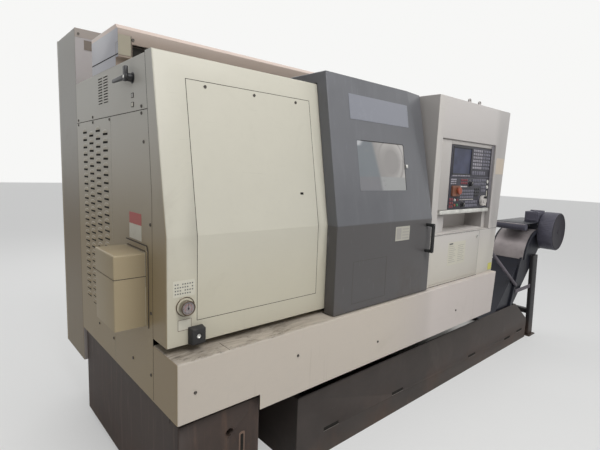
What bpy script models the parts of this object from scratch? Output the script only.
"""CNC turning lathe with slant bed, sliding door, coolant tank and chip conveyor.

All sizes are in metres. The machine frame has X along the spindle, Y to the rear and Z up.
X is 0 on the left side plane, Y is 0 on the front of the skirt and Z is 0 on the floor.
The finished part is moved so that its origin is the middle of its footprint.
"""
import math

import bmesh
import bpy
from mathutils import Matrix, Vector

# fits
GAP = 0.0003
SEAM = 0.0015
SHEET = 0.003
SLIDE_GAP = 0.004

# casing
COVER_LENGTH = 0.792
DOOR_LENGTH = 0.786
CABINET_LENGTH = 0.83
CASE_DEPTH = 1.17
SKIRT_TOP = 0.73
SKIRT_BOTTOM = 0.437
SKIRT_BOTTOM_LEFT = 0.503
SKIRT_STEP_X = 0.355
SIDE_SEAM_Y = 0.205
SIDE_SEAM_TOP_Y = 0.2557
SIDE_BEND_Z = 1.296

# left cover
COVER_Y = 0.0835
COVER_BOTTOM = 0.757
COVER_BEND = 1.157
COVER_TOP = 1.805
SLOPE = 0.173
COVER_T = 0.005
PANEL_T = 0.002
PANEL_X0 = 0.118
PANEL_INSET = 0.07
PANEL_Z0 = 0.841
PANEL_Z1 = 1.718

# sliding door
DOOR_LAP = 0.012
DOOR_STAND = 0.0665
DOOR_BOTTOM = 0.735
DOOR_TOP = 1.858
DOOR_BACK = 0.411
FACET_WIDTH = 0.16
FACET_SINK = 0.022
WINDOW_LEFT = 0.175
WINDOW_RIGHT = 0.231
WINDOW_Z0 = 1.315
WINDOW_Z1 = 1.560
RAIL_Y0 = 0.34
RAIL_Y1 = 0.37
RAIL_TOP = 1.838
RAIL_X0 = 0.10

# operator cabinet
CABINET_CLEAR = 0.024
CABINET_Y = 0.038
CABINET_BACK = 0.42
CABINET_TOP = 1.858
CABINET_LEAN = 0.074
PAN_LEFT = 0.065
PAN_RIGHT = 0.076
PAN_Z0 = 1.049
PAN_Z1 = 1.620
PAN_DEPTH = 0.037
UNIT_LEFT = 0.135
UNIT_RIGHT = 0.009
UNIT_T = 0.023
UNIT_Z0 = 1.195
UNIT_Z1 = 1.592
UNIT_SPLIT = 1.395
SHELF_RIGHT = 0.044
SHELF_Z0 = 1.055
SHELF_Z1 = 1.162
SHELF_BACK = 0.20
SERVICE_LEFT = 0.02
SERVICE_RIGHT = 0.21
SERVICE_Z0 = 0.745
SERVICE_Z1 = 1.040

# rear
ECAB_LENGTH = 0.75
ECAB_DEPTH = 0.375
ECAB_Z0 = 0.31
ECAB_TOP = 2.08
BEAM_FRONT = 0.53
BEAM_BACK = 0.88
BEAM_TOP = 1.96
BEAM_BOTTOM = 1.888
BEAM_CHAMFER = 0.023
BEAM_LIP = 0.03
BEAM_SHORT = 0.02
BEAM_LEG = 0.057

# base, bed, spindle
BASE_TOP = 0.60
FOOT_H = 0.03
SPIN_Y = 0.374
SPIN_Z = 0.94
BED_DROP = 0.30
BED_ANGLE = math.radians(45.0)
BED_CLEAR = 0.06
BED_END = 0.30
WAY_H = 0.03
HEAD_X0 = 0.22
HEAD_X1 = 0.60
SPINDLE_R = 0.07
SPINDLE_BORE = 0.028
NOSE_R = 0.085
NOSE_X = 0.65
CHUCK_R = 0.105
CHUCK_L = 0.075
JAW_RISE = 0.045
CYL_BOX_OUT = 0.12
CYL_BOX_Y0 = 0.263
CYL_BOX_Y1 = 0.484
CYL_BOX_Z0 = 0.79
CYL_BOX_Z1 = 1.075
CYL_BOX_SEAM = 0.985
CYL_R = 0.065
PULLEY_X0 = 0.105
PULLEY_X1 = 0.185
PULLEY_R = 0.12
MOTOR_STAND = 0.04
MOTOR_HALF = 0.14
MOTOR_Z = 0.77
MOTOR_PULLEY_R = 0.065
BELT_T = 0.008

# turret and tailstock
CARR_OFF = 0.32
CARR_LENGTH = 0.32
CARR_WIDTH = 0.47
CARR_H = 0.12
CROSS_WIDTH = 0.36
CROSS_H = 0.17
TURRET_SET = 0.16
TURRET_HALF = 0.11
DISC_R = 0.15
DISC_OFF = 0.09
DISC_T = 0.085
TAIL_LENGTH = 0.20
TAIL_END = 0.07
TAIL_HALF = 0.10
TAIL_HOUSE_R = 0.075
TAIL_PASS = 0.04
TAIL_PASS_LOW = 0.012
QUILL_R = 0.04

# tank and conveyor
TANK_X0 = 0.626
TANK_REACH = 0.91
TANK_Y0 = 0.07
TANK_Y1 = 0.56
TANK_TOP = 0.352
CONV_Y0 = 0.09
CONV_Y1 = 0.31
CONV_REACH = 1.26
HOOD_BACK = 0.33
HOOD_Z = 0.72
HOOD_R = 0.245

# sizes that follow from the ones above
DOOR_X0 = COVER_LENGTH - DOOR_LAP
DOOR_X1 = DOOR_X0 + DOOR_LENGTH
CABINET_X0 = DOOR_X1 + CABINET_CLEAR
CASE_LENGTH = CABINET_X0 + CABINET_LENGTH
PANEL_X1 = COVER_LENGTH - PANEL_INSET
WINDOW_X0 = DOOR_X0 + WINDOW_LEFT
WINDOW_X1 = DOOR_X1 - WINDOW_RIGHT
PAN_X0 = CABINET_X0 + PAN_LEFT
PAN_X1 = CASE_LENGTH - PAN_RIGHT
UNIT_X0 = PAN_X0 + UNIT_LEFT
UNIT_X1 = PAN_X1 - UNIT_RIGHT
SHELF_X1 = PAN_X1 - SHELF_RIGHT
SERVICE_X0 = CABINET_X0 + SERVICE_LEFT
SERVICE_X1 = CASE_LENGTH - SERVICE_RIGHT
ECAB_BACK = CASE_DEPTH + ECAB_DEPTH
BEAM_LENGTH = CASE_LENGTH - BEAM_SHORT
TANK_X1 = CASE_LENGTH + TANK_REACH
CONV_END = CASE_LENGTH + CONV_REACH
HOOD_X = CONV_END - HOOD_BACK
ROOF_Z = COVER_TOP - COVER_T - GAP
DOOR_Y = COVER_Y - DOOR_STAND
GUIDE_Y = SPIN_Y + BED_DROP * math.sin(BED_ANGLE)
GUIDE_Z = SPIN_Z - BED_DROP * math.cos(BED_ANGLE)
CHUCK_X0 = NOSE_X + GAP
CHUCK_X1 = CHUCK_X0 + CHUCK_L
BED_X0 = HEAD_X1 + BED_CLEAR
BED_X1 = CASE_LENGTH - BED_END
CARR_X0 = BED_X0 + CARR_OFF
CARR_X1 = CARR_X0 + CARR_LENGTH
DISC_X0 = CARR_X0 - DISC_OFF
DISC_X1 = DISC_X0 + DISC_T
TAIL_X1 = BED_X1 - TAIL_END
TAIL_X0 = TAIL_X1 - TAIL_LENGTH
PAN_BACK = CABINET_Y + PAN_DEPTH
UNIT_FRONT = PAN_BACK - UNIT_T
GUARD_OUT = 0.05

# the middle of the whole footprint
MID_X = (CONV_END - CYL_BOX_OUT) / 2
MID_Y = (ECAB_BACK - GUARD_OUT) / 2


# shapes
def box(x0, x1, y0, y1, z0, z1):
    bm = bmesh.new()
    bmesh.ops.create_cube(bm, size=1.0)
    bmesh.ops.scale(bm, vec=(x1 - x0, y1 - y0, z1 - z0), verts=bm.verts)
    middle = ((x0 + x1) / 2, (y0 + y1) / 2, (z0 + z1) / 2)
    bmesh.ops.translate(bm, vec=middle, verts=bm.verts)
    return bm


def rod(axis, a, b, centre, radius, end_radius=None, sides=32):
    """A round bar along an axis, centred on the other two coordinates in order."""
    bm = bmesh.new()
    last = radius if end_radius is None else end_radius
    bmesh.ops.create_cone(
        bm, cap_ends=True, segments=sides, radius1=radius, radius2=last, depth=b - a
    )
    turns = {
        "X": Matrix.Rotation(math.pi / 2, 4, "Y"),
        "Y": Matrix.Rotation(-math.pi / 2, 4, "X"),
        "Z": Matrix.Identity(4),
    }
    bmesh.ops.transform(bm, matrix=turns[axis], verts=bm.verts)
    spot = list(centre)
    spot.insert("XYZ".index(axis), (a + b) / 2)
    bmesh.ops.translate(bm, vec=spot, verts=bm.verts)
    return bm


def prism(axis, outline, a, b):
    """An outline in the plane across the axis, pushed along it from a to b."""
    bm = bmesh.new()
    at = "XYZ".index(axis)
    verts = []
    for point in outline:
        spot = list(point)
        spot.insert(at, a)
        verts.append(bm.verts.new(spot))
    edges = []
    for i, vert in enumerate(verts):
        edges.append(bm.edges.new((vert, verts[(i + 1) % len(verts)])))
    face = bmesh.ops.contextual_create(bm, geom=edges)["faces"]
    grown = bmesh.ops.extrude_face_region(bm, geom=face)["geom"]
    push = [0.0, 0.0, 0.0]
    push[at] = b - a
    moved = [item for item in grown if isinstance(item, bmesh.types.BMVert)]
    bmesh.ops.translate(bm, vec=push, verts=moved)
    bmesh.ops.recalc_face_normals(bm, faces=bm.faces)
    return bm


def slanted(bm):
    """Moves a shape from bed coordinates (along, up the slope, off the ways)."""
    turn = Matrix.Rotation(BED_ANGLE, 4, "X")
    move = Matrix.Translation((0.0, GUIDE_Y, GUIDE_Z))
    bmesh.ops.transform(bm, matrix=move @ turn, verts=bm.verts)
    return bm


def round_spindle(bm, angle):
    """Turns a shape about the spindle axis."""
    centre = Vector((0.0, SPIN_Y, SPIN_Z))
    turn = Matrix.Rotation(angle, 3, "X")
    bmesh.ops.rotate(bm, cent=centre, matrix=turn, verts=bm.verts)
    return bm


def group(shapes):
    """Puts several shapes that do not meet into one mesh."""
    whole = bmesh.new()
    for bm in shapes:
        mesh = bpy.data.meshes.new("loose")
        bm.to_mesh(mesh)
        bm.free()
        whole.from_mesh(mesh)
        bpy.data.meshes.remove(mesh)
    return whole


def clip(bm, point, normal):
    """Takes off what lies beyond a plane and closes the cut."""
    geom = bm.verts[:] + bm.edges[:] + bm.faces[:]
    bmesh.ops.bisect_plane(bm, geom=geom, plane_co=point, plane_no=normal, clear_outer=True)
    rim = [edge for edge in bm.edges if edge.is_boundary]
    bmesh.ops.contextual_create(bm, geom=rim)
    bmesh.ops.recalc_face_normals(bm, faces=bm.faces)
    return bm


# scene set up
for old in list(bpy.data.objects):
    bpy.data.objects.remove(old, do_unlink=True)

PARTS = bpy.data.collections.new("cnc_turning_lathe")
CUTTERS = bpy.data.collections.new("cutters")
bpy.context.scene.collection.children.link(PARTS)
bpy.context.scene.collection.children.link(CUTTERS)


def material(name, colour, roughness, metallic=0.0):
    made = bpy.data.materials.new(name)
    made.use_nodes = True
    shader = made.node_tree.nodes["Principled BSDF"]
    shader.inputs["Base Color"].default_value = (*colour, 1.0)
    shader.inputs["Roughness"].default_value = roughness
    shader.inputs["Metallic"].default_value = metallic
    made.diffuse_color = (*colour, 1.0)
    return made


CREAM = material("cream_paint", (0.58, 0.55, 0.47), 0.4)
DARK = material("dark_grey_paint", (0.13, 0.13, 0.14), 0.45)
TANK = material("tank_paint", (0.06, 0.052, 0.047), 0.55)
IRON = material("cast_iron", (0.12, 0.12, 0.12), 0.6, 0.4)
STEEL = material("machined_steel", (0.5, 0.5, 0.5), 0.3, 1.0)
LIGHT = material("light_grey_steel", (0.45, 0.43, 0.42), 0.35, 0.5)
BLACK = material("black_plastic", (0.02, 0.02, 0.022), 0.4)
RUBBER = material("black_rubber", (0.015, 0.015, 0.015), 0.8)
GLASS = material("window_pane", (0.35, 0.38, 0.4), 0.1)
RED = material("orange_plastic", (0.6, 0.1, 0.03), 0.35)
PALE = material("pale_plastic", (0.6, 0.58, 0.55), 0.4)
BLUE = material("blue_black_paint", (0.03, 0.035, 0.055), 0.4)


def add_object(name, bm, collection, pivot=None):
    """Makes an object whose origin is the pivot, given in the machine frame."""
    shift = Vector((MID_X, MID_Y, 0.0))
    middle = Vector(pivot) if pivot else shift
    bmesh.ops.translate(bm, vec=-middle, verts=bm.verts)
    mesh = bpy.data.meshes.new(name)
    bm.to_mesh(mesh)
    bm.free()
    obj = bpy.data.objects.new(name, mesh)
    obj.location = middle - shift
    collection.objects.link(obj)
    return obj


def helper(obj, kind, bm):
    """Joins a shape to an object or cuts it out of it."""
    name = "%s_%s_%d" % (obj.name, kind.lower(), len(obj.modifiers))
    tool = add_object(name, bm, CUTTERS)
    tool.hide_render = True
    tool.display_type = "WIRE"
    step = obj.modifiers.new(name, "BOOLEAN")
    step.operation = kind
    step.solver = "EXACT"
    step.object = tool


def piece(name, finish, bm, joins=(), cuts=(), pivot=None, late_joins=(), late_cuts=()):
    """Builds one node: the joins first, then the cuts, then the late joins and the late cuts."""
    obj = add_object(name, bm, PARTS, pivot)
    obj.data.materials.append(finish)
    for shape in joins:
        helper(obj, "UNION", shape)
    for shape in cuts:
        helper(obj, "DIFFERENCE", shape)
    for shape in late_joins:
        helper(obj, "UNION", shape)
    for shape in late_cuts:
        helper(obj, "DIFFERENCE", shape)


def bed_point(s, h):
    """Where a point of the slanted bed lies, as (Y, Z)."""
    y = GUIDE_Y + s * math.cos(BED_ANGLE) - h * math.sin(BED_ANGLE)
    z = GUIDE_Z + s * math.sin(BED_ANGLE) + h * math.cos(BED_ANGLE)
    return (y, z)


def lean(z):
    """How far the upper front leans back at a height."""
    return max(0.0, z - COVER_BEND) * SLOPE


def face_band(z0, z1, outside, inside):
    """A strip that follows the bent front, as (Y, Z) points."""
    heights = [z0, z1]
    if z0 < COVER_BEND < z1:
        heights = [z0, COVER_BEND, z1]
    front = [(COVER_Y + lean(z) - outside, z) for z in heights]
    back = [(COVER_Y + lean(z) + inside, z) for z in reversed(heights)]
    return front + back


def seam_y(z):
    """The seam between the front covers and the side panels."""
    rise = max(0.0, z - SIDE_BEND_Z)
    return SIDE_SEAM_Y + rise * (SIDE_SEAM_TOP_Y - SIDE_SEAM_Y) / (COVER_TOP - SIDE_BEND_Z)


# base casting
SHELL_BACK = CASE_DEPTH - SHEET - GAP
BASE_X0 = 0.016
BASE_X1 = CASE_LENGTH - 0.06
DECK_Z0 = 0.46
FOOT_X1 = 0.376
FOOT_TOP = 0.476
LEG_Y0 = TANK_Y1 + 0.06
PAD_R = 0.05
HOLE_R = 0.017
CHIP_X0 = COVER_LENGTH + 0.058
CHIP_X1 = CABINET_X0 + 0.01
CHIP_Y0 = 0.13
CHIP_Y1 = 0.46
CHUTE_WALL = 0.02
pads = [(BASE_X0 + 0.08, 0.12), (BASE_X0 + 0.08, SHELL_BACK - 0.1)]
pads += [(BASE_X1 - 0.1, LEG_Y0 + 0.08), (BASE_X1 - 0.1, SHELL_BACK - 0.1)]
base_joins = [
    box(BASE_X0 + 0.001, FOOT_X1, 0.03, SHELL_BACK - 0.001, FOOT_H, FOOT_TOP),
    box(FOOT_X1 - 0.01, BASE_X1 - 0.001, LEG_Y0, SHELL_BACK - 0.002, FOOT_H, DECK_Z0 + 0.01),
    box(BASE_X0 + 0.002, BASE_X1 - 0.002, SHEET + GAP, 0.12, 0.52, BASE_TOP - 0.01),
]
base_joins.append(
    box(
        CHIP_X0 - CHUTE_WALL, CHIP_X1 + CHUTE_WALL, CHIP_Y0 - CHUTE_WALL, CHIP_Y1 + CHUTE_WALL,
        TANK_TOP + GAP, DECK_Z0 + 0.02,
    )
)
for spot in pads:
    base_joins.append(rod("Z", 0.0, FOOT_H + 0.01, spot, PAD_R, sides=20))
piece(
    "base_casting",
    IRON,
    box(BASE_X0, BASE_X1, 0.10, SHELL_BACK, DECK_Z0, BASE_TOP),
    joins=base_joins,
    cuts=[
        box(CHIP_X0, CHIP_X1, CHIP_Y0, CHIP_Y1, TANK_TOP - 0.1, BASE_TOP + 0.1),
        rod("Y", 0.0, 0.06, (0.232, 0.373), HOLE_R, sides=20),
    ],
)

# slant bed
BED_BACK = CASE_DEPTH - 0.07
CREST_FLAT = 0.076
BED_S0 = -0.13
BED_S1 = (BED_BACK - CREST_FLAT - GUIDE_Y) / math.cos(BED_ANGLE)
WAY_W = 0.035
WAY_LAST = BED_S1 - 0.085
WAY_SPAN = 0.3744
WAY_THIRD = WAY_LAST - WAY_SPAN
WAY_S = [-0.08, 0.045, WAY_THIRD, WAY_LAST]
SCREW_S = (WAY_THIRD + WAY_W + WAY_LAST) / 2
SCREW_H = -0.022
SCREW_R = 0.016
CHANNEL_HALF = 0.045
CHANNEL_D = 0.06
END_WALL = 0.04
toe = bed_point(BED_S0, 0.0)
crest = bed_point(BED_S1, 0.0)
ways = []
for s in WAY_S:
    ways.append(slanted(box(BED_X0 + 0.004, BED_X1 - 0.004, s, s + WAY_W, -0.01, WAY_H)))
piece(
    "slant_bed",
    IRON,
    prism(
        "X",
        [(toe[0], BASE_TOP + GAP), toe, crest, (BED_BACK, crest[1]), (BED_BACK, BASE_TOP + GAP)],
        BED_X0,
        BED_X1,
    ),
    joins=[group(ways)],
    cuts=[
        slanted(
            box(
                BED_X0 + END_WALL,
                BED_X1 - END_WALL,
                SCREW_S - CHANNEL_HALF,
                SCREW_S + CHANNEL_HALF,
                -CHANNEL_D,
                0.05,
            )
        ),
        slanted(rod("X", BED_X0 + 0.015, BED_X1 + 0.1, (SCREW_S, SCREW_H), SCREW_R + GAP, sides=24)),
    ],
)
piece(
    "z_ballscrew",
    STEEL,
    slanted(
        rod("X", BED_X0 + 0.02, BED_X1 + 0.03, (SCREW_S, SCREW_H), SCREW_R, sides=24)
    ),
    pivot=(BED_X0 + 0.02, *bed_point(SCREW_S, SCREW_H)),
)
SERVO_L = 0.18
SERVO_HALF = 0.065
screw_end = slanted(rod("X", BED_X1 - 0.05, BED_X1 + 0.035, (SCREW_S, SCREW_H), SCREW_R + GAP, sides=24))
piece(
    "z_servo_motor",
    BLACK,
    slanted(
        box(
            BED_X1 + GAP,
            BED_X1 + SERVO_L,
            SCREW_S - SERVO_HALF,
            SCREW_S + SERVO_HALF,
            SCREW_H - SERVO_HALF,
            SCREW_H + SERVO_HALF,
        )
    ),
    cuts=[screw_end],
)

# headstock and spindle
HEAD_Y0 = SIDE_SEAM_Y + 0.01
HEAD_Y1 = 0.58
HEAD_TOP = 1.10
NECK_R = 0.045
AXIS = (SPIN_Y, SPIN_Z)
piece(
    "headstock",
    IRON,
    box(HEAD_X0, HEAD_X1, HEAD_Y0, HEAD_Y1, BASE_TOP + GAP, HEAD_TOP),
    cuts=[rod("X", HEAD_X0 - 0.1, HEAD_X1 + 0.1, AXIS, SPINDLE_R + GAP, sides=48)],
)
SPINDLE_X0 = 0.05
piece(
    "spindle",
    STEEL,
    rod("X", HEAD_X0 - 0.02, HEAD_X1 + 0.02, AXIS, SPINDLE_R, sides=48),
    joins=[
        rod("X", HEAD_X1 + GAP, NOSE_X, AXIS, NOSE_R, sides=48),
        rod("X", SPINDLE_X0, HEAD_X0 + 0.01, AXIS, NECK_R, sides=48),
    ],
    cuts=[rod("X", SPINDLE_X0 - 0.1, NOSE_X + 0.1, AXIS, SPINDLE_BORE, sides=24)],
    pivot=(NOSE_X, SPIN_Y, SPIN_Z),
)
piece(
    "spindle_pulley",
    STEEL,
    rod("X", PULLEY_X0, PULLEY_X1, AXIS, PULLEY_R, sides=48),
    cuts=[rod("X", PULLEY_X0 - 0.1, PULLEY_X1 + 0.1, AXIS, NECK_R + GAP, sides=48)],
    pivot=(PULLEY_X0, SPIN_Y, SPIN_Z),
)
piece(
    "chuck_cylinder",
    STEEL,
    rod("X", -0.09, SPINDLE_X0 - GAP, AXIS, CYL_R, sides=32),
    joins=[rod("X", -0.105, -0.08, AXIS, NECK_R, sides=32)],
    cuts=[rod("X", -0.2, 0.2, AXIS, SPINDLE_BORE, sides=24)],
    pivot=(SPINDLE_X0, SPIN_Y, SPIN_Z),
)

# chuck with three jaws
SLOT_HALF = 0.015
SLOT_D = 0.02
SLOT_R0 = 0.03
JAW_R0 = 0.038
JAW_R1 = 0.098
JAW_STEP = 0.066
slots = []
for number in range(3):
    slot = box(
        CHUCK_X1 - SLOT_D, CHUCK_X1 + 0.1, SPIN_Y - SLOT_HALF, SPIN_Y + SLOT_HALF,
        SPIN_Z + SLOT_R0, SPIN_Z + CHUCK_R + 0.05,
    )
    slots.append(round_spindle(slot, number * math.tau / 3))
piece(
    "chuck_body",
    STEEL,
    rod("X", CHUCK_X0, CHUCK_X1, AXIS, CHUCK_R, sides=48),
    cuts=[rod("X", CHUCK_X0 - 0.1, CHUCK_X1 + 0.1, AXIS, SPINDLE_BORE, sides=24), group(slots)],
    pivot=(CHUCK_X0, SPIN_Y, SPIN_Z),
)
for number in range(3):
    x0 = CHUCK_X1 - SLOT_D + GAP
    half = SLOT_HALF - GAP
    profile = [
        (x0, SPIN_Z + JAW_R0),
        (CHUCK_X1 + JAW_RISE, SPIN_Z + JAW_R0),
        (CHUCK_X1 + JAW_RISE, SPIN_Z + JAW_STEP),
        (CHUCK_X1 + JAW_RISE / 2, SPIN_Z + JAW_STEP),
        (CHUCK_X1 + JAW_RISE / 2, SPIN_Z + JAW_R1),
        (x0, SPIN_Z + JAW_R1),
    ]
    angle = number * math.tau / 3
    jaw = round_spindle(prism("Y", profile, SPIN_Y - half, SPIN_Y + half), angle)
    radius = (JAW_R0 + JAW_R1) / 2
    out_y = SPIN_Y - radius * math.sin(angle)
    out_z = SPIN_Z + radius * math.cos(angle)
    piece("chuck_jaw_%d" % (number + 1), STEEL, jaw, pivot=(CHUCK_X1, out_y, out_z))

# spindle drive
MOTOR_X0 = 0.20
MOTOR_X1 = 0.56
MOTOR_Y = HEAD_Y1 + MOTOR_STAND + MOTOR_HALF
SHAFT_R = 0.02
MOTOR_AXIS = (MOTOR_Y, MOTOR_Z)
piece(
    "spindle_motor",
    BLUE,
    box(
        MOTOR_X0, MOTOR_X1, MOTOR_Y - MOTOR_HALF, MOTOR_Y + MOTOR_HALF,
        BASE_TOP + GAP, MOTOR_Z + MOTOR_HALF,
    ),
)
piece(
    "motor_pulley",
    STEEL,
    rod("X", PULLEY_X0, PULLEY_X1, MOTOR_AXIS, MOTOR_PULLEY_R, sides=48),
    joins=[rod("X", PULLEY_X1 - 0.01, MOTOR_X0 - GAP, MOTOR_AXIS, SHAFT_R, sides=24)],
    pivot=(PULLEY_X0, MOTOR_Y, MOTOR_Z),
)
BELT_FIT = 0.0008


def belt_line(extra):
    """The loop round both pulleys, as (Y, Z) points."""
    big = PULLEY_R + extra
    small = MOTOR_PULLEY_R + extra
    run = Vector((MOTOR_Y - SPIN_Y, MOTOR_Z - SPIN_Z))
    heading = math.atan2(run.y, run.x)
    spread = math.acos((big - small) / run.length)
    points = []
    steps = 24
    for i in range(steps + 1):
        turn = heading + spread + (math.tau - 2 * spread) * i / steps
        points.append((SPIN_Y + big * math.cos(turn), SPIN_Z + big * math.sin(turn)))
    for i in range(steps + 1):
        turn = heading - spread + 2 * spread * i / steps
        points.append((MOTOR_Y + small * math.cos(turn), MOTOR_Z + small * math.sin(turn)))
    return points


piece(
    "drive_belt",
    RUBBER,
    prism("X", belt_line(BELT_FIT + BELT_T), PULLEY_X0 + 0.01, PULLEY_X1 - 0.01),
    cuts=[prism("X", belt_line(BELT_FIT), PULLEY_X0 - 0.01, PULLEY_X1 + 0.01)],
)

# carriage and turret
NUT_HALF = 0.03
NUT_X = 0.06
CARR_S1 = BED_S1 - 0.02
CARR_S0 = CARR_S1 - CARR_WIDTH
CROSS_S1 = CARR_S1 - 0.04
CROSS_S0 = CROSS_S1 - CROSS_WIDTH
TURRET_S = CROSS_S0 + TURRET_SET
CARR_MID = (CARR_X0 + CARR_X1) / 2
piece(
    "carriage",
    IRON,
    slanted(box(CARR_X0, CARR_X1, CARR_S0, CARR_S1, WAY_H + GAP, CARR_H)),
    joins=[
        slanted(
            box(
                CARR_MID - NUT_X, CARR_MID + NUT_X, SCREW_S - NUT_HALF, SCREW_S + NUT_HALF,
                SCREW_H - NUT_HALF, WAY_H + 0.01,
            )
        )
    ],
    cuts=[slanted(rod("X", CARR_X0 - 0.1, CARR_X1 + 0.1, (SCREW_S, SCREW_H), SCREW_R + GAP, sides=24))],
    pivot=(CARR_MID, *bed_point(SCREW_S, SCREW_H)),
)
CROSS_INSET = 0.01
CROSS_MID_S = (CROSS_S0 + CROSS_S1) / 2
piece(
    "cross_slide",
    STEEL,
    slanted(
        box(CARR_X0 + CROSS_INSET, CARR_X1 - CROSS_INSET, CROSS_S0, CROSS_S1, CARR_H + GAP, CROSS_H)
    ),
    pivot=(CARR_MID, *bed_point(CROSS_MID_S, CARR_H)),
)
piece(
    "x_servo_motor",
    BLACK,
    slanted(
        box(
            CARR_MID - SERVO_HALF, CARR_MID + SERVO_HALF, CARR_S1 + GAP, CARR_S1 + SERVO_L - 0.02,
            WAY_H + 0.01, WAY_H + 0.01 + 2 * SERVO_HALF,
        )
    ),
)
TURRET_CENTRE = bed_point(TURRET_S, BED_DROP)
piece(
    "turret_housing",
    IRON,
    slanted(
        box(
            DISC_X1 + GAP, CARR_X1 - 0.05, TURRET_S - TURRET_HALF, TURRET_S + TURRET_HALF,
            CROSS_H + GAP, BED_DROP + TURRET_HALF * 0.8,
        )
    ),
)
STATIONS = 12
POCKET = 0.022
pockets = []
for number in range(STATIONS):
    pocket = box(
        DISC_X0 - 0.02, DISC_X0 + POCKET, TURRET_CENTRE[0] - POCKET / 2, TURRET_CENTRE[0] + POCKET / 2,
        TURRET_CENTRE[1] + DISC_R - 2.2 * POCKET, TURRET_CENTRE[1] + DISC_R + 0.02,
    )
    turn = Matrix.Rotation(math.tau * (number + 0.5) / STATIONS, 3, "X")
    centre = Vector((0.0, *TURRET_CENTRE))
    bmesh.ops.rotate(pocket, cent=centre, matrix=turn, verts=pocket.verts)
    pockets.append(pocket)
disc = rod("X", DISC_X0, DISC_X1, TURRET_CENTRE, DISC_R, sides=STATIONS)
piece(
    "turret_disc",
    STEEL,
    disc,
    cuts=[group(pockets)],
    pivot=(DISC_X0, *TURRET_CENTRE),
)

# tailstock
QUILL_X0 = TAIL_X0 - 0.05
QUILL_BACK = 0.02
CENTRE_L = 0.05
piece(
    "tailstock_body",
    IRON,
    slanted(box(TAIL_X0, TAIL_X1, -TAIL_HALF, TAIL_HALF, WAY_H + GAP, BED_DROP)),
    joins=[rod("X", TAIL_X0 + 0.002, TAIL_X1 - 0.002, AXIS, TAIL_HOUSE_R, sides=32)],
    cuts=[rod("X", TAIL_X0 - 0.1, TAIL_X1 + 0.1, AXIS, QUILL_R + GAP, sides=32)],
    pivot=(TAIL_X0, *bed_point(0.0, WAY_H)),
)
piece(
    "tailstock_quill",
    STEEL,
    rod("X", QUILL_X0, TAIL_X1 - QUILL_BACK, AXIS, QUILL_R, sides=32),
    joins=[rod("X", QUILL_X0 - CENTRE_L, QUILL_X0 + 0.002, AXIS, 0.001, 0.022, sides=24)],
    pivot=(QUILL_X0, SPIN_Y, SPIN_Z),
)

# left cover and its panels
TOP_LEAN = lean(COVER_TOP)
SLANT_T = math.hypot(1.0, SLOPE)
cover_outline = [
    (COVER_Y, COVER_BOTTOM),
    (SIDE_SEAM_Y - GAP, COVER_BOTTOM),
    (SIDE_SEAM_Y - GAP, SIDE_BEND_Z),
    (SIDE_SEAM_TOP_Y - GAP, COVER_TOP),
    (COVER_Y + TOP_LEAN, COVER_TOP),
    (COVER_Y, COVER_BEND),
]
inner_top = COVER_TOP - COVER_T
cover_hollow = [
    (COVER_Y + COVER_T, COVER_BOTTOM + COVER_T),
    (SIDE_SEAM_Y + 0.2, COVER_BOTTOM + COVER_T),
    (SIDE_SEAM_Y + 0.2, inner_top),
    (COVER_Y + lean(inner_top) + COVER_T * SLANT_T, inner_top),
    (COVER_Y + COVER_T * SLANT_T, COVER_BEND),
]
PANEL_LAP = 0.012
piece(
    "left_cover",
    CREAM,
    prism("X", cover_outline, 0.0, COVER_LENGTH),
    cuts=[
        prism("X", cover_hollow, COVER_T, COVER_LENGTH - COVER_T),
        prism(
            "X", face_band(PANEL_Z0 - SEAM, PANEL_Z1 + SEAM, 0.02, PANEL_T + GAP),
            PANEL_X0 - SEAM, PANEL_X1 + SEAM,
        ),
        prism(
            "X", face_band(PANEL_Z0 + PANEL_LAP, PANEL_Z1 - PANEL_LAP, 0.03, 0.05),
            PANEL_X0 + PANEL_LAP, PANEL_X1 - PANEL_LAP,
        ),
    ],
)
piece(
    "access_panel",
    CREAM,
    prism("X", face_band(PANEL_Z0, PANEL_Z1, 0.0, PANEL_T), PANEL_X0, PANEL_X1),
)
GAUGE_X = 0.070
GAUGE_Z = 0.902
GAUGE_R = 0.038
GAUGE_Y0 = COVER_Y - 0.030
GAUGE_Y1 = COVER_Y - GAP
BEZEL_W = 0.004
DIAL_D = 0.006
piece(
    "pressure_gauge",
    STEEL,
    rod("Y", GAUGE_Y0, GAUGE_Y1, (GAUGE_X, GAUGE_Z), GAUGE_R, sides=40),
    cuts=[
        rod("Y", GAUGE_Y0 - 0.02, GAUGE_Y0 + DIAL_D, (GAUGE_X, GAUGE_Z), GAUGE_R - BEZEL_W, sides=40)
    ],
)
NEEDLE_Y = GAUGE_Y0 + DIAL_D - GAP
NEEDLE_L = 0.026
NEEDLE_HALF = 0.0012
piece(
    "gauge_needle",
    BLACK,
    rod("Y", NEEDLE_Y - 0.0022, NEEDLE_Y, (GAUGE_X, GAUGE_Z), 0.004, sides=16),
    joins=[
        box(
            GAUGE_X - NEEDLE_HALF, GAUGE_X + NEEDLE_HALF, NEEDLE_Y - 0.0018, NEEDLE_Y - 0.0006,
            GAUGE_Z, GAUGE_Z + NEEDLE_L,
        )
    ],
    pivot=(GAUGE_X, NEEDLE_Y, GAUGE_Z),
)
BUMPER_X = 0.11
BUMPER_HALF = 0.03
BUMPER_OUT = 0.033
BUMPER_H = 0.066
BUMPER_HOLE_R = 0.008
bumper_hole = (BUMPER_X, COVER_BOTTOM + BUMPER_H / 2)
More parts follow.
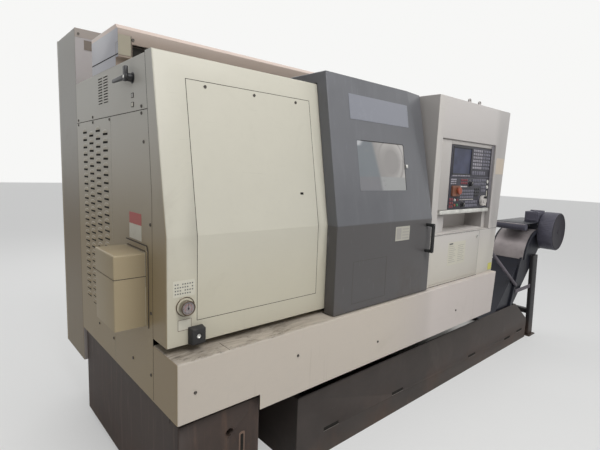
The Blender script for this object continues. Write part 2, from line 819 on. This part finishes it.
piece(
    "door_bumper",
    RUBBER,
    box(
        BUMPER_X - BUMPER_HALF, BUMPER_X + BUMPER_HALF, COVER_Y - BUMPER_OUT, COVER_Y - GAP,
        COVER_BOTTOM, COVER_BOTTOM + BUMPER_H,
    ),
    cuts=[rod("Y", 0.0, COVER_Y - BUMPER_OUT + 0.008, bumper_hole, BUMPER_HOLE_R, sides=16)],
)

# side panels
MID_SEAM_Y = 0.64
SIDE_SEAM_Z = 1.603
LOUVRE_W = 0.07
LOUVRE_RISE = 0.014
LOUVRE_OUT = 0.004
LOUVRE_PITCH = 0.036
LOUVRE_ROWS = 24
LOUVRE_TOP = 1.555
LOUVRE_Y0 = 0.715
LOUVRE_STEP = 0.105
LOUVRE_EDGE = 0.105
LOUVRE_COLUMNS = 1 + int((CASE_DEPTH - LOUVRE_EDGE - LOUVRE_Y0) / LOUVRE_STEP)
SMALL_W = 0.055
SMALL_RISE = 0.006
SMALL_OUT = 0.003
SMALL_PITCH = 0.0118
SMALL_TOP = 1.770
SMALL_ROWS = 10
SMALL_Y0 = 0.688
SMALL_STEP = 0.073


def louvre(y, z, width, rise, out):
    """A pressed hood: it leaves the sheet at its top and stands proud at its lower edge."""
    root = PANEL_T / 4
    profile = [(root, z + rise), (-out, z + rise * 0.15), (-out, z), (root, z)]
    return prism("Y", profile, y - width / 2, y + width / 2)


hoods = []
for column in range(LOUVRE_COLUMNS):
    y = LOUVRE_Y0 + column * LOUVRE_STEP
    shift = 0.0 if column % 2 else -LOUVRE_PITCH / 2
    for row in range(LOUVRE_ROWS):
        z = LOUVRE_TOP + shift - row * LOUVRE_PITCH
        hoods.append(louvre(y, z, LOUVRE_W, LOUVRE_RISE, LOUVRE_OUT))
piece(
    "side_panel_louvred",
    CREAM,
    box(0.0, PANEL_T, MID_SEAM_Y + SEAM, CASE_DEPTH, SKIRT_BOTTOM_LEFT, SIDE_SEAM_Z - SEAM),
    joins=[group(hoods)],
)
low_top = SIDE_SEAM_Z - SEAM
piece(
    "side_panel_plain",
    CREAM,
    prism(
        "X",
        [
            (SIDE_SEAM_Y, SKIRT_BOTTOM_LEFT),
            (MID_SEAM_Y - SEAM, SKIRT_BOTTOM_LEFT),
            (MID_SEAM_Y - SEAM, low_top),
            (seam_y(low_top), low_top),
            (SIDE_SEAM_Y, SIDE_BEND_Z),
        ],
        0.0,
        PANEL_T,
    ),
    cuts=[rod("X", -0.1, 0.1, AXIS, CYL_R + 0.015, sides=32)],
)
small = []
for column in range(2):
    y = SMALL_Y0 + column * SMALL_STEP
    for row in range(SMALL_ROWS):
        z = SMALL_TOP - row * SMALL_PITCH
        small.append(louvre(y, z, SMALL_W, SMALL_RISE, SMALL_OUT))
piece(
    "side_panel_upper",
    CREAM,
    prism(
        "X",
        [
            (seam_y(SIDE_SEAM_Z + SEAM), SIDE_SEAM_Z + SEAM),
            (CASE_DEPTH, SIDE_SEAM_Z + SEAM),
            (CASE_DEPTH, ROOF_Z),
            (seam_y(ROOF_Z), ROOF_Z),
        ],
        0.0,
        PANEL_T,
    ),
    joins=[group(small)],
)
CYL_T = 0.002
piece(
    "cylinder_cover",
    CREAM,
    box(-CYL_BOX_OUT, -GAP, CYL_BOX_Y0, CYL_BOX_Y1, CYL_BOX_Z0, CYL_BOX_SEAM),
    cuts=[
        box(
            CYL_T - CYL_BOX_OUT, 0.1, CYL_BOX_Y0 + CYL_T, CYL_BOX_Y1 - CYL_T,
            CYL_BOX_Z0 + CYL_T, CYL_BOX_SEAM + 0.1,
        )
    ],
)
piece(
    "cylinder_cover_lid",
    CREAM,
    box(-CYL_BOX_OUT, -GAP, CYL_BOX_Y0, CYL_BOX_Y1, CYL_BOX_SEAM + GAP, CYL_BOX_Z1),
    cuts=[
        box(
            CYL_T - CYL_BOX_OUT, 0.1, CYL_BOX_Y0 + CYL_T, CYL_BOX_Y1 - CYL_T,
            CYL_BOX_SEAM - 0.1, CYL_BOX_Z1 - CYL_T,
        )
    ],
)
SWITCH_Y = 0.377
SWITCH_Z = 1.727
SWITCH_R = 0.022
LEVER_REACH = 0.145
LEVER_HALF = 0.012
piece(
    "main_switch_handle",
    BLACK,
    rod("X", -SWITCH_R, -GAP, (SWITCH_Y, SWITCH_Z), SWITCH_R, sides=24),
    joins=[
        box(
            -SWITCH_R - LEVER_HALF, -SWITCH_R + 0.002, SWITCH_Y - LEVER_HALF, SWITCH_Y + LEVER_REACH,
            SWITCH_Z - LEVER_HALF, SWITCH_Z + LEVER_HALF,
        ),
        box(
            -SWITCH_R - LEVER_HALF + 0.0005, -SWITCH_R + 0.0015, SWITCH_Y - 0.02, SWITCH_Y + 0.02,
            SWITCH_Z - 0.024, SWITCH_Z + 0.03,
        ),
    ],
    pivot=(-0.02, SWITCH_Y, SWITCH_Z),
)

# skirt
SKIRT_LEAN = 0.026
piece(
    "front_skirt",
    CREAM,
    prism(
        "Y",
        [
            (0.0, SKIRT_BOTTOM_LEFT),
            (SKIRT_STEP_X, SKIRT_BOTTOM_LEFT),
            (SKIRT_STEP_X, SKIRT_BOTTOM),
            (CASE_LENGTH, SKIRT_BOTTOM),
            (CASE_LENGTH + SKIRT_LEAN, SKIRT_TOP),
            (0.0, SKIRT_TOP),
        ],
        0.0,
        SIDE_SEAM_Y - GAP,
    ),
    cuts=[
        prism(
            "Y",
            [
                (SHEET, SKIRT_BOTTOM - 0.1),
                (CASE_LENGTH - SHEET, SKIRT_BOTTOM - 0.1),
                (CASE_LENGTH - SHEET, SKIRT_BOTTOM),
                (CASE_LENGTH + SKIRT_LEAN - SHEET, SKIRT_TOP - SHEET),
                (SHEET, SKIRT_TOP - SHEET),
            ],
            SHEET,
            SIDE_SEAM_Y + 0.1,
        )
    ],
)

# sliding door
door_low = COVER_Y - SLIDE_GAP
DOOR_ROOF_Z = COVER_TOP + SLIDE_GAP
door_outline = [
    (DOOR_Y, DOOR_BOTTOM),
    (door_low, DOOR_BOTTOM),
    (door_low, COVER_BEND),
    (door_low + lean(DOOR_ROOF_Z), DOOR_ROOF_Z),
    (DOOR_BACK, DOOR_ROOF_Z + 0.012),
    (DOOR_BACK, DOOR_TOP),
    (DOOR_Y + lean(DOOR_TOP), DOOR_TOP),
    (DOOR_Y, COVER_BEND),
]
door_inner_top = DOOR_TOP - SHEET
door_hollow = [
    (DOOR_Y + SHEET, DOOR_BOTTOM - 0.1),
    (DOOR_BACK + 0.1, DOOR_BOTTOM - 0.1),
    (DOOR_BACK + 0.1, door_inner_top),
    (DOOR_Y + lean(door_inner_top) + SHEET * SLANT_T, door_inner_top),
    (DOOR_Y + SHEET * SLANT_T, COVER_BEND),
]
facet_a = Vector((DOOR_X1 - FACET_WIDTH, DOOR_Y + lean(DOOR_TOP), DOOR_TOP))
facet_b = Vector((DOOR_X1, DOOR_Y, COVER_BEND))
facet_c = Vector((DOOR_X1, DOOR_Y + lean(DOOR_TOP) + FACET_SINK, DOOR_TOP))
facet_n = (facet_b - facet_a).cross(facet_c - facet_a).normalized()
if facet_n.y > 0:
    facet_n = -facet_n
HANGER_W = 0.08
hangers = []
for x in (DOOR_X0 + HANGER_W, DOOR_X1 - 2 * HANGER_W):
    hanger = box(
        x, x + HANGER_W, RAIL_Y0 + 0.002, RAIL_Y1 - 0.002, RAIL_TOP + GAP, DOOR_TOP - 0.001
    )
    hangers.append(hanger)
rail_pass = box(
    DOOR_X0 - 0.1, DOOR_X1 + 0.1, RAIL_Y0 - SLIDE_GAP, RAIL_Y1 + SLIDE_GAP, ROOF_Z, RAIL_TOP + SLIDE_GAP
)
piece(
    "door_shell",
    DARK,
    clip(prism("X", door_outline, DOOR_X0, DOOR_X1), facet_a, facet_n),
    cuts=[
        clip(
            prism("X", door_hollow, DOOR_X0 + SHEET, DOOR_X1 - SHEET),
            facet_a - facet_n * SHEET,
            facet_n,
        ),
        rail_pass,
        box(WINDOW_X0, WINDOW_X1, DOOR_Y - 0.1, COVER_Y + 0.1, WINDOW_Z0, WINDOW_Z1),
    ],
    late_joins=hangers,
    pivot=(DOOR_X0, DOOR_Y, DOOR_BOTTOM),
)
PANE_LAP = 0.015
PANE_T = 0.005
pane_z0 = WINDOW_Z0 - PANE_LAP
pane_z1 = WINDOW_Z1 + PANE_LAP
pane_front = DOOR_Y + (SHEET * SLANT_T + GAP)
piece(
    "door_window",
    GLASS,
    prism(
        "X",
        [
            (pane_front + lean(pane_z0), pane_z0),
            (pane_front + lean(pane_z0) + PANE_T, pane_z0),
            (pane_front + lean(pane_z1) + PANE_T, pane_z1),
            (pane_front + lean(pane_z1), pane_z1),
        ],
        WINDOW_X0 - PANE_LAP,
        WINDOW_X1 + PANE_LAP,
    ),
)
HANDLE_W = 0.022
HANDLE_X0 = DOOR_X1 - 0.063
HANDLE_X1 = HANDLE_X0 + HANDLE_W
HANDLE_NOSE = 0.008
HANDLE_Z0 = 0.967
HANDLE_Z1 = 1.133
HANDLE_OUT = 0.05
HANDLE_T = 0.015
handle_back = DOOR_Y - GAP
piece(
    "door_handle",
    BLACK,
    prism(
        "X",
        [
            (handle_back, HANDLE_Z0),
            (handle_back, HANDLE_Z0 + HANDLE_T),
            (handle_back - HANDLE_OUT + HANDLE_T, HANDLE_Z0 + HANDLE_T),
            (handle_back - HANDLE_OUT + HANDLE_T, HANDLE_Z1 - HANDLE_T),
            (handle_back, HANDLE_Z1 - HANDLE_T),
            (handle_back, HANDLE_Z1),
            (handle_back - HANDLE_OUT + HANDLE_NOSE, HANDLE_Z1),
            (handle_back - HANDLE_OUT, HANDLE_Z1 - HANDLE_NOSE),
            (handle_back - HANDLE_OUT, HANDLE_Z0 + HANDLE_NOSE),
            (handle_back - HANDLE_OUT + HANDLE_NOSE, HANDLE_Z0),
        ],
        HANDLE_X0,
        HANDLE_X1,
    ),
)
piece(
    "door_rail",
    STEEL,
    box(RAIL_X0, DOOR_X1, RAIL_Y0, RAIL_Y1, ROOF_Z + GAP, RAIL_TOP),
)

# rear enclosure
ENC_X0 = PANEL_T + GAP
ENC_Y0 = SIDE_SEAM_TOP_Y + GAP
FRAME_W = 0.03
BACK_POST = 0.04
WALL_CUT_Z = SIDE_SEAM_Z - FRAME_W
piece(
    "rear_enclosure",
    CREAM,
    box(ENC_X0, CASE_LENGTH, ENC_Y0, CASE_DEPTH, SKIRT_BOTTOM_LEFT, ROOF_Z),
    cuts=[
        box(ENC_X0 + SHEET, CASE_LENGTH - SHEET, ENC_Y0 - 0.2, CASE_DEPTH - SHEET, 0.2, ROOF_Z - SHEET),
        box(CABINET_X0 - GAP, CASE_LENGTH + 0.1, 0.0, CABINET_BACK + GAP, SKIRT_TOP, ROOF_Z + 0.1),
        group(
            [
                box(-0.1, 0.05, ENC_Y0 + FRAME_W, MID_SEAM_Y - FRAME_W, BASE_TOP + FRAME_W, WALL_CUT_Z),
                box(-0.1, 0.05, MID_SEAM_Y + FRAME_W, CASE_DEPTH - BACK_POST, BASE_TOP + FRAME_W, WALL_CUT_Z),
                box(
                    -0.1, 0.05, ENC_Y0 + FRAME_W, CASE_DEPTH - BACK_POST,
                    SIDE_SEAM_Z + FRAME_W, ROOF_Z - FRAME_W,
                ),
            ]
        ),
    ],
)
beam_back_y = BEAM_FRONT + BEAM_LIP
beam_outline = [
    (BEAM_FRONT, BEAM_BOTTOM),
    (BEAM_FRONT, BEAM_TOP - BEAM_CHAMFER),
    (BEAM_FRONT + BEAM_CHAMFER, BEAM_TOP),
    (BEAM_BACK, BEAM_TOP),
    (BEAM_BACK, ROOF_Z + GAP),
    (beam_back_y, ROOF_Z + GAP),
    (beam_back_y, BEAM_BOTTOM),
]
beam_leg = box(
    0.001, BEAM_LEG, BEAM_FRONT + 0.001, BEAM_FRONT + BEAM_LIP + 0.02, ROOF_Z + 0.032, BEAM_BOTTOM + 0.012
)
piece(
    "top_rear_cover",
    CREAM,
    prism("X", beam_outline, 0.0, BEAM_LENGTH),
    joins=[beam_leg],
    cuts=[
        box(
            SHEET, BEAM_LENGTH - SHEET, beam_back_y + 0.025, BEAM_BACK - SHEET,
            ROOF_Z - 0.1, BEAM_TOP - SHEET,
        )
    ],
)
ECAB_Y0 = CASE_DEPTH + GAP
EDOOR_T = 0.025
EDOOR_RIM = 0.02
ecab_door_y = ECAB_BACK - EDOOR_T
piece(
    "electrical_cabinet",
    CREAM,
    box(0.0, ECAB_LENGTH, ECAB_Y0, ecab_door_y - GAP, ECAB_Z0, ECAB_TOP),
    cuts=[
        box(SHEET, ECAB_LENGTH - SHEET, ECAB_Y0 + SHEET, ECAB_BACK, ECAB_Z0 + SHEET, ECAB_TOP - SHEET)
    ],
)
piece(
    "electrical_door",
    CREAM,
    box(0.0, ECAB_LENGTH, ecab_door_y, ECAB_BACK, ECAB_Z0, ECAB_TOP),
    cuts=[
        box(
            EDOOR_RIM, ECAB_LENGTH - EDOOR_RIM, ECAB_Y0, ECAB_BACK - SHEET,
            ECAB_Z0 + EDOOR_RIM, ECAB_TOP - EDOOR_RIM,
        )
    ],
    pivot=(ECAB_LENGTH, ECAB_BACK, ECAB_Z0),
)

# operator cabinet
cab_z0 = SKIRT_TOP + GAP
cab_right = CASE_LENGTH + SKIRT_LEAN
EYE_R = 0.016
EYE_T = 0.008
EYE_HOLE_R = 0.007
EYE_Y = CABINET_Y + 0.01
EYE_Z = CABINET_TOP + EYE_R / 2
eyes = []
eye_holes = []
for x in (CABINET_X0 + 0.36, CABINET_X0 + 0.49):
    eyes.append(rod("Y", EYE_Y, EYE_Y + EYE_T, (x, EYE_Z), EYE_R, sides=24))
    eye_holes.append(rod("Y", EYE_Y - 0.03, EYE_Y + 0.04, (x, EYE_Z + EYE_R / 4), EYE_HOLE_R, sides=16))
service_cut = box(
    SERVICE_X0 - GAP, SERVICE_X1 + SEAM, CABINET_Y - 0.1, CABINET_Y + 0.02,
    SERVICE_Z0 - SEAM, SERVICE_Z1 + SEAM,
)
# the tailstock slides through the cabinet's left wall
tail_pass = box(
    CABINET_X0 - 0.1, CABINET_X0 + SHEET + 0.02, SPIN_Y - TAIL_HOUSE_R - TAIL_PASS, CABINET_BACK + 0.1,
    SPIN_Z - TAIL_HOUSE_R - TAIL_PASS, SPIN_Z + TAIL_HOUSE_R + TAIL_PASS,
)
tail_pass_low = slanted(
    box(
        CABINET_X0 - 0.1, CABINET_X0 + SHEET + 0.02, -TAIL_HALF - TAIL_PASS_LOW, TAIL_HALF,
        WAY_H, BED_DROP,
    )
)
piece(
    "operator_cabinet",
    CREAM,
    prism(
        "Y",
        [
            (CABINET_X0, cab_z0),
            (cab_right, cab_z0),
            (cab_right + CABINET_LEAN, CABINET_TOP),
            (CABINET_X0, CABINET_TOP),
        ],
        CABINET_Y,
        CABINET_BACK,
    ),
    cuts=[
        prism(
            "Y",
            [
                (CABINET_X0 + SHEET, cab_z0 + SHEET),
                (cab_right - SHEET, cab_z0 + SHEET),
                (cab_right + CABINET_LEAN - SHEET, CABINET_TOP - SHEET),
                (CABINET_X0 + SHEET, CABINET_TOP - SHEET),
            ],
            CABINET_Y + SHEET,
            CABINET_BACK + 0.1,
        ),
        tail_pass,
        tail_pass_low,
    ],
    late_joins=[
        box(
            PAN_X0 - SHEET, PAN_X1 + SHEET, CABINET_Y + 0.001, PAN_BACK + SHEET,
            PAN_Z0 - SHEET, PAN_Z1 + SHEET,
        ),
        box(
            UNIT_X0 - SHEET, SHELF_X1 + SHEET, PAN_BACK + 0.001, SHELF_BACK + SHEET,
            SHELF_Z0 - SHEET, SHELF_Z1 + SHEET,
        ),
        group(eyes),
    ],
    late_cuts=[
        box(PAN_X0, PAN_X1, CABINET_Y - 0.1, PAN_BACK, PAN_Z0, PAN_Z1),
        box(UNIT_X0, SHELF_X1, CABINET_Y - 0.1, SHELF_BACK, SHELF_Z0, SHELF_Z1),
        service_cut,
        group(eye_holes),
    ],
)
LOCK_R = 0.012
lock_spot = (SERVICE_X1 - 0.03, SERVICE_Z1 - 0.035)
piece(
    "service_door",
    CREAM,
    box(SERVICE_X0, SERVICE_X1, CABINET_Y, CABINET_Y + SHEET, SERVICE_Z0, SERVICE_Z1),
    joins=[rod("Y", CABINET_Y - 0.004, CABINET_Y + 0.002, lock_spot, LOCK_R, sides=16)],
    pivot=(SERVICE_X0, CABINET_Y, SERVICE_Z0),
)
SCREEN_X0 = UNIT_X0 + 0.047
SCREEN_W = 0.22
SCREEN_Z0 = UNIT_SPLIT + 0.018
SCREEN_H = 0.164
SCREEN_DEEP = 0.005
piece(
    "control_unit",
    BLACK,
    box(UNIT_X0, UNIT_X1, UNIT_FRONT, PAN_BACK - GAP, UNIT_SPLIT + GAP, UNIT_Z1),
    cuts=[
        box(
            SCREEN_X0, SCREEN_X0 + SCREEN_W, UNIT_FRONT - 0.02, UNIT_FRONT + SCREEN_DEEP,
            SCREEN_Z0, SCREEN_Z0 + SCREEN_H,
        )
    ],
)
ESTOP_X = UNIT_X0 + 0.085
ESTOP_Z = 1.312
COLLAR_HALF = 0.030
COLLAR_T = 0.012
STEM_R = 0.008
PRESS = 0.004
BORE_DEEP = 0.010
HEAD_R = 0.023
HEAD_T = 0.014
collar_y = UNIT_FRONT - COLLAR_T
head_back = collar_y - PRESS - SEAM / 3
stem_end = UNIT_FRONT + BORE_DEEP - PRESS - 0.001
piece(
    "operator_panel",
    BLACK,
    box(UNIT_X0, UNIT_X1, UNIT_FRONT, PAN_BACK - GAP, UNIT_Z0, UNIT_SPLIT),
    joins=[
        box(
            ESTOP_X - COLLAR_HALF, ESTOP_X + COLLAR_HALF, collar_y, UNIT_FRONT + 0.002,
            ESTOP_Z - COLLAR_HALF, ESTOP_Z + COLLAR_HALF,
        )
    ],
    cuts=[rod("Y", collar_y - 0.1, UNIT_FRONT + BORE_DEEP, (ESTOP_X, ESTOP_Z), STEM_R + GAP, sides=24)],
)
panel_face = UNIT_FRONT - GAP
piece(
    "estop_button",
    RED,
    rod("Y", head_back - HEAD_T, head_back, (ESTOP_X, ESTOP_Z), HEAD_R, sides=28),
    joins=[rod("Y", head_back - 0.002, stem_end, (ESTOP_X, ESTOP_Z), STEM_R, sides=24)],
    pivot=(ESTOP_X, collar_y, ESTOP_Z),
)
KNOB_R = 0.015
KNOB_FOOT_R = 0.017
KNOB_T = 0.02
POINTER_HALF = 0.002
POINTER_L = 0.014
KNOBS = {
    "feed_knob": (UNIT_X0 + 0.25, 1.355),
    "speed_knob": (UNIT_X0 + 0.165, 1.223),
}
for name, (x, z) in KNOBS.items():
    piece(
        name,
        BLACK,
        rod("Y", panel_face - KNOB_T, panel_face, (x, z), KNOB_R, KNOB_FOOT_R, sides=20),
        joins=[
            box(
                x - POINTER_HALF, x + POINTER_HALF, panel_face - KNOB_T - 0.002, panel_face - 0.012,
                z - 0.003, z + POINTER_L,
            )
        ],
        pivot=(x, panel_face, z),
    )
WHEEL_X = UNIT_X1 - 0.115
WHEEL_Z = 1.245
WHEEL_R = 0.036
WHEEL_T = 0.024
GRIP_R = 0.008
GRIP_OUT = 0.022
grip_spot = (WHEEL_X, WHEEL_Z + GRIP_OUT)
piece(
    "handwheel",
    PALE,
    rod("Y", panel_face - WHEEL_T, panel_face, (WHEEL_X, WHEEL_Z), WHEEL_R, sides=36),
    joins=[rod("Y", panel_face - WHEEL_T - 0.016, panel_face - 0.02, grip_spot, GRIP_R, sides=16)],
    pivot=(WHEEL_X, panel_face, WHEEL_Z),
)

# coolant tank
TANK_T = 0.005
LID_Z = TANK_TOP - 0.004
TANK_CUT_X = 0.27
TANK_CUT_Z = 0.17
TROUGH_GAP = 0.008
PUMP_X = TANK_X1 - 0.71
PUMP_Y = 0.46
PUMP_R = 0.055
PUMP_NECK = 0.46
PUMP_TOP = 0.58
PUMP_FOOT = 0.08
SLOT_W = 0.11
SLOT_H = 0.020
SLOT_DEEP = 0.0025
SLOTS = [
    (TANK_X0 + 0.234, 0.12),
    (TANK_X0 + 0.794, 0.115),
    (TANK_X1 - 0.995, 0.09),
    (TANK_X1 - 0.38, 0.07),
    (TANK_X1 - 0.14, 0.08),
]
lift_slots = []
for x, z in SLOTS:
    slot = box(x - SLOT_W / 2, x + SLOT_W / 2, TANK_Y0 - 0.02, TANK_Y0 + SLOT_DEEP, z, z + SLOT_H)
    lift_slots.append(slot)
piece(
    "coolant_tank",
    TANK,
    prism(
        "Y",
        [
            (TANK_X0, 0.0),
            (TANK_X1, 0.0),
            (TANK_X1, TANK_CUT_Z),
            (TANK_X1 - TANK_CUT_X, TANK_TOP),
            (TANK_X0, TANK_TOP),
        ],
        TANK_Y0,
        TANK_Y1,
    ),
    cuts=[
        prism(
            "Y",
            [
                (TANK_X0 + TANK_T, TANK_T),
                (TANK_X1 - TANK_T, TANK_T),
                (TANK_X1 - TANK_T, TANK_CUT_Z - 0.002),
                (TANK_X1 - TANK_CUT_X - 0.002, LID_Z),
                (TANK_X0 + TANK_T, LID_Z),
            ],
            TANK_Y0 + TANK_T,
            TANK_Y1 - TANK_T,
        ),
        box(
            TANK_X0 + 0.03, TANK_X1 - TANK_CUT_X - 0.004, CONV_Y0 - TROUGH_GAP, CONV_Y1 + TROUGH_GAP,
            LID_Z - 0.05, TANK_TOP + 0.05,
        ),
        rod("Z", TANK_TOP - 0.03, TANK_TOP + 0.03, (PUMP_X, PUMP_Y), PUMP_R + GAP, sides=24),
        group(lift_slots),
    ],
)
piece(
    "coolant_pump",
    BLUE,
    rod("Z", PUMP_FOOT, PUMP_NECK, (PUMP_X, PUMP_Y), PUMP_R, sides=24),
    joins=[
        rod("Z", TANK_TOP + GAP, TANK_TOP + 0.012, (PUMP_X, PUMP_Y), PUMP_R + 0.02, sides=24),
        rod("Z", PUMP_NECK - 0.02, PUMP_TOP, (PUMP_X, PUMP_Y), PUMP_R + 0.01, sides=24),
    ],
)

# chip conveyor
TROUGH_Z0 = TANK_T + GAP
TROUGH_TOP = 0.30
TROUGH_X0 = TANK_X0 + 0.074
RISE_X = TANK_X1 - 0.67
RISE_LOW_X = RISE_X + 0.10
KNEE_X = RISE_LOW_X + 0.27
KNEE_Z = 0.34
MOUTH_X0 = CONV_END - 0.19
HOOD_FIT = SHEET + GAP
HEAD_Z0 = 0.78
HEAD_TOP_Z = HOOD_Z + HOOD_R
CAP_TOP = 1.03
CAP_OUT = 0.02
WALL = 0.003
ARC_STEPS = 12
ARC_START = 0.037


def hood_arc(radius):
    """The quarter curve of the hood, from its low left end up to its top."""
    points = []
    for i in range(ARC_STEPS + 1):
        turn = math.pi - ARC_START - (math.pi / 2 - ARC_START) * i / ARC_STEPS
        points.append((HOOD_X + radius * math.cos(turn), HOOD_Z + radius * math.sin(turn)))
    return points


def inset_line(outline, depth):
    """Moves every side of a closed outline inwards by a depth."""
    count = len(outline)
    area = 0.0
    for i in range(count):
        ahead = outline[(i + 1) % count]
        area += outline[i][0] * ahead[1] - ahead[0] * outline[i][1]
    side = 1.0 if area > 0 else -1.0
    moved = []
    for i in range(count):
        before = Vector(outline[i - 1])
        here = Vector(outline[i])
        after = Vector(outline[(i + 1) % count])
        one = (here - before).normalized()
        two = (after - here).normalized()
        n_one = Vector((-one.y, one.x)) * side
        n_two = Vector((-two.y, two.x)) * side
        bisector = (n_one + n_two).normalized()
        moved.append(tuple(here + bisector * depth / bisector.dot(n_two)))
    return moved


SHAFT_X = CONV_END - 0.15
SHAFT_Z = (HEAD_TOP_Z - HOOD_FIT + HEAD_Z0) / 2
conveyor_line = hood_arc(HOOD_R - HOOD_FIT)
conveyor_line += [
    (CONV_END, HEAD_TOP_Z - HOOD_FIT),
    (CONV_END, HEAD_Z0),
    (MOUTH_X0, HEAD_Z0),
    (KNEE_X, KNEE_Z),
    (RISE_LOW_X, TROUGH_Z0),
    (TROUGH_X0, TROUGH_Z0),
    (TROUGH_X0, TROUGH_TOP),
    (RISE_X, TROUGH_TOP),
]


def conveyor_outline(inset):
    """The side view of the conveyor casing, moved in by an inset."""
    return inset_line(conveyor_line, inset)


CHUTE_X0 = CONV_END - 0.17
FEED_X0 = TROUGH_X0 + 0.05
FEED_X1 = RISE_X - 0.08
cap = box(
    HOOD_X + 0.004, CONV_END - 0.001, CONV_Y0 - CAP_OUT, CONV_Y1 + CAP_OUT, HEAD_TOP_Z - 0.01, CAP_TOP
)
conveyor_cuts = [
    prism("Y", conveyor_outline(WALL), CONV_Y0 + WALL, CONV_Y1 - WALL),
    box(CHUTE_X0, CONV_END - WALL, CONV_Y0 + WALL, CONV_Y1 - WALL, HEAD_Z0 - 0.2, HEAD_Z0 + 0.05),
    box(FEED_X0, FEED_X1, CONV_Y0 + WALL, CONV_Y1 - WALL, TROUGH_TOP - 0.05, TROUGH_TOP + 0.1),
    rod("Y", CONV_Y0 - 0.1, CONV_Y1 + 0.1, (SHAFT_X, SHAFT_Z), 0.02 + GAP, sides=24),
]
piece(
    "conveyor_frame",
    BLUE,
    prism("Y", conveyor_outline(0.0), CONV_Y0, CONV_Y1),
    joins=[cap],
    cuts=conveyor_cuts,
)
hood_outer = hood_arc(HOOD_R)
hood_inner = list(reversed(hood_arc(HOOD_R - SHEET)))
piece(
    "conveyor_hood",
    LIGHT,
    prism("Y", hood_outer + hood_inner, CONV_Y0 - CAP_OUT, CONV_Y1 + CAP_OUT),
)
BELT_OUTER = 0.02
BELT_INNER = 0.034
BELT_SIDE = 0.012
SPROCKET_R = SHAFT_Z - HEAD_Z0 - BELT_INNER - GAP
piece(
    "conveyor_belt",
    STEEL,
    prism("Y", conveyor_outline(BELT_OUTER), CONV_Y0 + BELT_SIDE, CONV_Y1 - BELT_SIDE),
    cuts=[prism("Y", conveyor_outline(BELT_INNER), CONV_Y0, CONV_Y1)],
)
piece(
    "conveyor_drive_shaft",
    STEEL,
    rod("Y", CONV_Y0 - 0.015, CONV_Y1 + 0.02, (SHAFT_X, SHAFT_Z), 0.02, sides=24),
    joins=[rod("Y", CONV_Y0 + 0.03, CONV_Y1 - 0.03, (SHAFT_X, SHAFT_Z), SPROCKET_R, sides=12)],
    pivot=(SHAFT_X, CONV_Y0, SHAFT_Z),
)
GUARD_Y0 = -GUARD_OUT
GUARD_Y1 = CONV_Y0 - CAP_OUT - GAP
GUARD_SPOT = (CONV_END - 0.16, 0.95)
GUARD_R = 0.165
piece(
    "conveyor_drive_guard",
    BLUE,
    rod("Y", GUARD_Y0, GUARD_Y1, GUARD_SPOT, GUARD_R, sides=32),
)
GEAR_L = 0.15
GEAR_W = 0.11
GEAR_H = 0.095
piece(
    "conveyor_motor",
    BLUE,
    box(
        HOOD_X + 0.01, HOOD_X + 0.01 + GEAR_L, CONV_Y0 - 0.015, CONV_Y0 - 0.015 + GEAR_W,
        CAP_TOP + GAP, CAP_TOP + GEAR_H,
    ),
)
STAND_X = CONV_END - 0.302
STAND_W = 0.09
STAND_TOP = 0.74
STAND_LEAN = 0.068
STAND_T = 0.030
RUNG_Z = 0.20
RUNG_H = 0.04
stand_line = [
    (STAND_X, 0.0),
    (STAND_X + STAND_W, 0.0),
    (STAND_X + STAND_W - STAND_LEAN + 0.01, STAND_TOP),
    (STAND_X - STAND_LEAN, STAND_TOP),
]
rung = box(
    STAND_X + 0.002, STAND_X + 0.052, CONV_Y0 - 0.02, CONV_Y1 + 0.02, RUNG_Z, RUNG_Z + RUNG_H
)
piece(
    "conveyor_stand",
    BLACK,
    prism("Y", stand_line, CONV_Y0 - STAND_T, CONV_Y0 - GAP),
    joins=[prism("Y", stand_line, CONV_Y1 + GAP, CONV_Y1 + STAND_T), rung],
)
